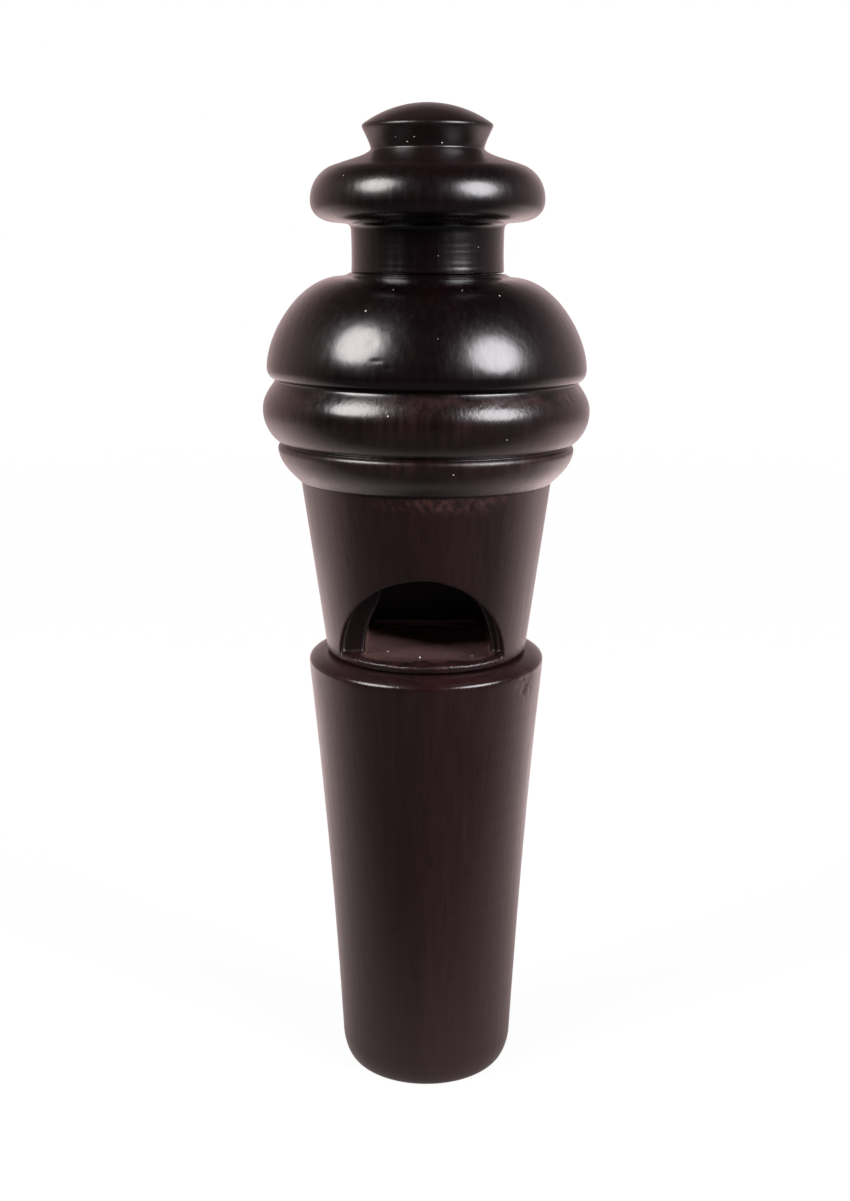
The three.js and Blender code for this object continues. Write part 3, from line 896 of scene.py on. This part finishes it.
def finial_outline():
    """Tenon, neck, collar, waist and the button with its round crown."""
    low = NECK_LOW + SEAM
    tenon_r = FINIAL_SEAT_R - GAP
    tenon_low = HEAD_TOP - FINIAL_SEAT_DEPTH + GAP
    crown = TOTAL_HEIGHT - BUTTON_EDGE
    crown_r = (BUTTON_R**2 + crown**2) / (2 * crown)
    crown_angle = math.asin(BUTTON_R / crown_r)
    o = Outline(0, tenon_low)
    o.line(tenon_r - 0.4, tenon_low)
    o.line(tenon_r, tenon_low + 0.4)
    o.line(tenon_r, low)
    o.line(NECK_FOOT_R, low)
    o.curve(NECK_R, low + 1.2, NECK_R, COLLAR_LOW - 2.2, NECK_FOOT_R, COLLAR_LOW - 0.5)
    o.bend(NECK_FOOT_R + 0.1, COLLAR_LOW, NECK_FOOT_R + 0.7, COLLAR_LOW + 0.02)
    o.line(COLLAR_R - 3.2, COLLAR_LOW + 0.1)
    o.curve(COLLAR_R - 1.0, COLLAR_LOW + 0.3, COLLAR_R, COLLAR_MIDDLE - 1.5, COLLAR_R, COLLAR_MIDDLE)
    o.curve(
        COLLAR_R, COLLAR_MIDDLE + 2.0,
        COLLAR_ARRIS_R + 1.4, COLLAR_ARRIS - 0.7,
        COLLAR_ARRIS_R, COLLAR_ARRIS,
    )
    o.curve(COLLAR_ARRIS_R - 2.1, COLLAR_ARRIS + 0.8, WAIST_R + 0.5, WAIST - 0.8, WAIST_R, WAIST)
    o.bend(WAIST_R + 0.15, WAIST + 0.8, BUTTON_R, BUTTON_EDGE)
    steps = 40
    for i in range(1, steps + 1):
        a = crown_angle * (1 - i / steps)
        o.points.append(np.array([crown_r * math.sin(a), TOTAL_HEIGHT - crown_r + crown_r * math.cos(a)]))
    return o.worn(2)


def finial_wear(angle, radius, height):
    """Turning marks round the neck, and a nick in the collar."""
    x, y = around(angle)
    outer = height > NECK_LOW + SEAM + 0.1
    out = 0.012 * wander(x * 2, y * 2, height / 7, seed=51)
    on_neck = (radius < NECK_FOOT_R) & (height < COLLAR_LOW)
    out = out + np.where(on_neck, 0.006 * wander(x / 2, y / 2, height * 9, seed=53), 0)
    out = out - 0.2 * spot(angle, radius, height, -62, 117.9 + 2 * (angle + 1.08), 1.2, 0.3)
    return np.where(outer, out, 0)


def finial_attributes(piece):
    """The neck has kept its polish. The collar is a little duller, and the button's flare more so."""
    p = vertices_mm(piece)
    above_neck = (p[:, 2] >= COLLAR_LOW + 0.3) * 0.12
    waist = np.clip((p[:, 2] - COLLAR_ARRIS + 1) / 1.5, 0, 1) * 0.4
    uneven = 0.85 + 0.2 * wander(*(p * [0.4, 0.4, 1.2]).T, seed=55)
    paint(piece, "dull", np.clip((above_neck + waist) * uneven, 0, 1))


finial = turned("finial_of_rosewood", finial_outline(), carve=finial_wear)
finial_attributes(finial)
put(finial, finial_place)
finish(finial, polished_wood, "insert", "polished_wood", "finial")


# ---------------------------------------------------------------------------------------------------------
# Dust: pale grains lying on the wood


def grains(name, places):
    """One tiny uneven lump for each (x, y, z, size), all in one object."""
    draw = np.random.RandomState(71)
    vertices, faces = [], []
    corners = np.array([(1, 0, 0), (-1, 0, 0), (0, 1, 0), (0, -1, 0), (0, 0, 1), (0, 0, -1)], float)
    sides = [(0, 2, 4), (2, 1, 4), (1, 3, 4), (3, 0, 4), (2, 0, 5), (1, 2, 5), (3, 1, 5), (0, 3, 5)]
    for x, y, z, size in places:
        lump = corners * size * draw.uniform(0.9, 1.7, (6, 1)) + (x, y, z)
        faces += [tuple(len(vertices) + k for k in side) for side in sides]
        vertices += lump.tolist()
    return new_object(name, vertices, faces)


def on_surface(piece, at_degrees, height, size):
    """The outermost point of a turned piece near an angle and a height, in millimetres."""
    p = vertices_mm(piece)
    angle, radius = angle_and_radius(p)
    turn = angle - math.radians(at_degrees)
    off = (np.abs(np.sin(turn / 2)) * 40) ** 2 + (p[:, 2] - height) ** 2 - 0.02 * radius
    return (*p[np.argmin(off)], size)


dust_places = [on_surface(head, *where) for where in (
    (-25, 102.6, 0.11), (36, 104.1, 0.09), (-12, 91.2, 0.12), (27, 88.2, 0.08), (10, 84.0, 0.08),
    (-16, 104.9, 0.06), (18, 104.9, 0.06), (4, 99.8, 0.05),
)]
dust_places += [on_surface(finial, *where) for where in (
    (-37, 122.2, 0.07), (-23, 121.7, 0.08), (-14, 122.2, 0.06), (19, 121.5, 0.09), (9, 108.6, 0.06),
    (45, 109.4, 0.07), (-50, 117.8, 0.06),
)]
dust_places += [
    (x, y, CHAMBER_FLOOR + 0.05, size)
    for x, y, size in (
        (0.1, 2.3, 0.1), (-4.9, -5.1, 0.09), (4.9, 0.9, 0.11), (-0.8, -7.8, 0.12), (2.6, -6.0, 0.06),
        (-2.4, -1.5, 0.06), (5.8, -7.0, 0.07), (-6.1, -9.6, 0.08), (3.9, -10.4, 0.07),
    )
]
dust_grains = grains("dust_grains", dust_places)
dust_grains.data.materials.append(dust)
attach(dust_grains, "insert")


# ---------------------------------------------------------------------------------------------------------
# Lapping: one thread wound on the tenon, over a thin under-layer of wax


def lapping_centres(thread_r):
    """The middle of the thread, in close turns up the groove."""
    turns_r = lapping_high[0] - thread_r
    low, high = lapping_low[2] + thread_r, lapping_high[2] - thread_r
    turns = int((high - low) / (2 * thread_r * 1.02))
    per_turn = 60
    t = np.linspace(0, 1, turns * per_turn)
    angle = t * turns * 2 * math.pi
    radius = turns_r - 0.04 * (1 + wander(angle / 9, seed=61)) / 2
    height = low + (high - low) * t
    return np.stack([radius * np.sin(angle), -radius * np.cos(angle), height], 1)


THREAD_R = 0.27
lapping = swept("lapping_thread", lapping_centres(THREAD_R), THREAD_R, 8)
finish(lapping, thread, "lapping", "waxed_thread", "tenon_lapping")

wax_r = lapping_high[0] - THREAD_R * 1.4
under = Outline(GROOVE_R + GAP, lapping_low[2])
under.line(wax_r, lapping_low[2])
under.line(wax_r, lapping_high[2])
under.line(GROOVE_R + GAP, lapping_high[2])
under.line(GROOVE_R + GAP, lapping_low[2])
wax_layer = turned("lapping_underlayer", under.worn(1, closed=True), closed=True)
wax_layer.data.materials.append(thread)
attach(wax_layer, "lapping")


# ---------------------------------------------------------------------------------------------------------
# Tone board, wedge and reed

BOARD_FACE = board_low[1]
LAY_TOP = TENON_LOW
LAY_DROP = 1.3
TROUGH_HALF_WIDTH = 1.6
TROUGH_DEPTH = 2.3
TROUGH_END = 4.5
WEDGE_TAPER = 3.0


def board_field(x, y, z):
    """A half-round board whose face curves away under the reed, with the air trough cut in it."""
    round_back = np.sqrt(x * x + y * y) - board_high[1]
    along = np.clip((LAY_TOP - z) / (LAY_TOP - board_low[2]), 0, 1)
    face = BOARD_FACE + LAY_DROP * along * along - y
    solid = soft_max(round_back, face, 0.35)
    solid = soft_max(soft_max(solid, board_low[2] - z, 0.5), z - board_high[2], 0.5)
    deep = BOARD_FACE + TROUGH_DEPTH - TROUGH_HALF_WIDTH
    trough = np.where(y > deep, np.sqrt(x * x + (y - deep) ** 2), np.abs(x)) - TROUGH_HALF_WIDTH
    trough = soft_max(trough, board_low[2] + TROUGH_END - z, 1.2)
    return soft_max(solid, -trough, 0.3)


def wedge_field(x, y, z):
    """A half-round keeper with a bevelled lower end."""
    round_back = np.sqrt(x * x + y * y) + wedge_low[1]
    solid = soft_max(round_back, y - wedge_high[1], 0.35)
    solid = soft_max(solid, z - wedge_high[2], 0.5)
    bevel_low = wedge_low[2] + WEDGE_TAPER * (wedge_high[1] - y) / (wedge_high[1] - wedge_low[1])
    return soft_max(solid, bevel_low - z, 0.5)


tone_board, _ = skinned("tone_board_of_hardwood", board_field, board_low, board_high, BOARD_CELL)
finish(tone_board, board_wood, "board", "board_wood", "tone_board")
reed_wedge, _ = skinned("wedge_of_hardwood", wedge_field, wedge_low, wedge_high, BOARD_CELL)
finish(reed_wedge, board_wood, "wedge", "board_wood", "reed_wedge")


def reed_mesh():
    """A thin strip with a rounded tip, in even cells."""
    tip_round = 1.4
    columns, rows = 14, 110
    heights = reed_low[2] + (reed_high[2] - reed_low[2]) * np.linspace(0, 1, rows + 1) ** 1.25
    vertices = []
    for y in (reed_low[1], reed_high[1]):
        for z in heights:
            back = max(0.0, tip_round - (z - reed_low[2]))
            half = reed_high[0] - tip_round + math.sqrt(tip_round**2 - back**2)
            vertices += [(half * (2 * i / columns - 1), y, z) for i in range(columns + 1)]
    sheet = (rows + 1) * (columns + 1)
    faces = []
    for i in range(rows):
        for j in range(columns):
            a = i * (columns + 1) + j
            b, c, d = a + 1, a + columns + 2, a + columns + 1
            faces.append((a, b, c, d))
            faces.append((sheet + d, sheet + c, sheet + b, sheet + a))
    rim = list(range(columns))
    rim += [i * (columns + 1) + columns for i in range(rows)]
    rim += [rows * (columns + 1) + j for j in range(columns, 0, -1)]
    rim += [i * (columns + 1) for i in range(rows, 0, -1)]
    for a, b in zip(rim, rim[1:] + rim[:1]):
        faces.append((b, a, sheet + a, sheet + b))
    return vertices, faces


reed = new_object("brass_reed", *reed_mesh(), smooth=False)
reed.data.materials.append(brass)
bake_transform(reed)
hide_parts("reed")


# ---------------------------------------------------------------------------------------------------------
# Camera, floor and light

SENSOR = 36
LENS = 52.007
CAMERA_AWAY = 217.5
CAMERA_HEIGHT = 121.2
CAMERA_PITCH = math.radians(14.7)
CAMERA_X = -0.16


def make_camera():
    """A normal lens in front of the window, level with the finial's waist and looking down."""
    data = bpy.data.cameras.new("camera")
    data.sensor_width = SENSOR
    data.lens = LENS
    data.clip_start = 0.01
    data.clip_end = 20
    camera = bpy.data.objects.new("camera", data)
    camera.location = Vector((CAMERA_X, -CAMERA_AWAY, CAMERA_HEIGHT)) * MM
    camera.rotation_euler = (math.pi / 2 - CAMERA_PITCH, 0, 0)
    bpy.context.scene.collection.objects.link(camera)
    bpy.context.scene.camera = camera


def make_floor():
    """A pale disc that fades into the background, so that it has no far edge."""
    radius = 1.6  # metres
    rings, sectors = 24, 96
    vertices = [(0, 0, 0)]
    faces = []
    for i in range(1, rings + 1):
        r = radius * (i / rings) ** 1.6
        for j in range(sectors):
            a = 2 * math.pi * j / sectors
            vertices.append((r * math.cos(a), r * math.sin(a), 0))
    for j in range(sectors):
        faces.append((0, 1 + j, 1 + (j + 1) % sectors))
    for i in range(rings - 1):
        low, high = 1 + i * sectors, 1 + (i + 1) * sectors
        for j in range(sectors):
            k = (j + 1) % sectors
            faces.append((low + j, high + j, high + k, low + k))
    mesh = bpy.data.meshes.new("floor")
    mesh.from_pydata(vertices, [], faces)
    floor = bpy.data.objects.new("floor", mesh)
    bpy.context.scene.collection.objects.link(floor)
    n = Nodes("pale_floor")
    n.shader.inputs["Base Color"].default_value = (0.07, 0.07, 0.07, 1)
    n.shader.inputs["Roughness"].default_value = 0.9
    n.shader.inputs["Specular IOR Level"].default_value = 0.0
    seen = n.add("ShaderNodeLightPath").outputs["Is Camera Ray"]
    n.join(n.mix(seen, (1, 0.78, 0.77, 1), (1, 1, 1, 1)), n.shader.inputs["Emission Color"])
    split = n.add("ShaderNodeSeparateXYZ")
    n.join(n.place, split.inputs[0])
    behind = n.range(split.outputs["Y"], -0.05, 0.1, 0.0, 1.9)
    strength = n.add("ShaderNodeMix", data_type="FLOAT")
    n.join(seen, strength.inputs[0])
    n.join(behind, strength.inputs[2])
    strength.inputs[3].default_value = 0.93
    n.join(strength.outputs[0], n.shader.inputs["Emission Strength"])
    away = n.add("ShaderNodeVectorMath", operation="LENGTH")
    n.join(n.place, away.inputs[0])
    n.join(n.range(away.outputs["Value"], 0.12, 0.5, 1.0, 0.0), n.shader.inputs["Alpha"])
    mesh.materials.append(n.material)


def make_world():
    """Camera rays see a plain pale backdrop. Everything else is lit by a white back and dim front."""
    world = bpy.data.worlds.new("studio")
    bpy.context.scene.world = world
    world.use_nodes = True
    tree = world.node_tree
    tree.nodes.clear()

    def add(kind, **settings):
        node = tree.nodes.new(kind)
        for key, value in settings.items():
            setattr(node, key, value)
        return node

    direction = add("ShaderNodeTexCoord")
    split = add("ShaderNodeSeparateXYZ")
    tree.links.new(direction.outputs["Generated"], split.inputs[0])
    ramp = add("ShaderNodeValToRGB")
    stops = ((0.0, 0.03), (0.3, 0.045), (0.5, 0.25), (0.7, 0.5), (0.9, 0.75), (1.0, 1.0))
    ramp.color_ramp.elements.remove(ramp.color_ramp.elements[1])
    for i, (at, level) in enumerate(stops):
        element = ramp.color_ramp.elements[0] if i == 0 else ramp.color_ramp.elements.new(at)
        element.position = at
        element.color = (level, level, level, 1)
    half = add("ShaderNodeMapRange")
    tree.links.new(split.outputs["Y"], half.inputs["Value"])
    half.inputs["From Min"].default_value = -1
    half.inputs["From Max"].default_value = 1
    tree.links.new(half.outputs[0], ramp.inputs[0])

    overhead = add("ShaderNodeMapRange")
    tree.links.new(split.outputs["Z"], overhead.inputs["Value"])
    overhead.inputs["From Min"].default_value = 0.25
    overhead.inputs["From Max"].default_value = 0.7
    overhead.inputs["To Min"].default_value = 1.0
    overhead.inputs["To Max"].default_value = 0.12

    tint = add("ShaderNodeMix", data_type="RGBA")
    side = add("ShaderNodeMapRange")
    tree.links.new(split.outputs["X"], side.inputs["Value"])
    side.inputs["From Min"].default_value = -0.6
    side.inputs["From Max"].default_value = 0.6
    tree.links.new(side.outputs[0], tint.inputs[0])
    tint.inputs[6].default_value = (1.0, 0.72, 0.71, 1)
    tint.inputs[7].default_value = (0.95, 0.73, 0.76, 1)
    lit = add("ShaderNodeMix", data_type="RGBA", blend_type="MULTIPLY")
    lit.inputs[0].default_value = 1
    tree.links.new(ramp.outputs[0], lit.inputs[6])
    tree.links.new(tint.outputs[2], lit.inputs[7])

    surround = add("ShaderNodeBackground")
    tree.links.new(lit.outputs[2], surround.inputs["Color"])
    tree.links.new(overhead.outputs[0], surround.inputs["Strength"])
    backdrop = add("ShaderNodeBackground")
    backdrop.inputs["Color"].default_value = (1, 1, 1, 1)
    chosen = add("ShaderNodeMixShader")
    tree.links.new(add("ShaderNodeLightPath").outputs["Is Camera Ray"], chosen.inputs[0])
    tree.links.new(surround.outputs[0], chosen.inputs[1])
    tree.links.new(backdrop.outputs[0], chosen.inputs[2])
    output = add("ShaderNodeOutputWorld")
    tree.links.new(chosen.outputs[0], output.inputs["Surface"])


AIM_HEIGHT = 0.09  # metres, between the beads
LAMP_AWAY = 0.7


def make_softbox(name, azimuth, elevation, width, height, watts, colour):
    """A soft lamp aimed at the beads. Azimuth is from the window side towards +X, in degrees."""
    data = bpy.data.lights.new(name, "AREA")
    data.shape = "ELLIPSE"
    data.size = width
    data.size_y = height
    data.energy = watts
    data.color = colour
    lamp = bpy.data.objects.new(name, data)
    a, e = math.radians(azimuth), math.radians(elevation)
    out = Vector((math.sin(a) * math.cos(e), -math.cos(a) * math.cos(e), math.sin(e)))
    lamp.location = Vector((0, 0, AIM_HEIGHT)) + out * LAMP_AWAY
    lamp.rotation_euler = out.to_track_quat("Z", "Y").to_euler()
    lamp.visible_camera = False
    bpy.context.scene.collection.objects.link(lamp)


make_camera()
make_floor()
make_world()
make_softbox("softbox_left", -58, 36, 0.4, 0.42, watts=6.4, colour=(1.0, 0.95, 0.95))
make_softbox("softbox_right", 54, 27, 0.44, 0.44, watts=7.6, colour=(0.98, 0.96, 1.0))

scene = bpy.context.scene
scene.view_settings.view_transform = "Standard"
scene.view_settings.look = "None"
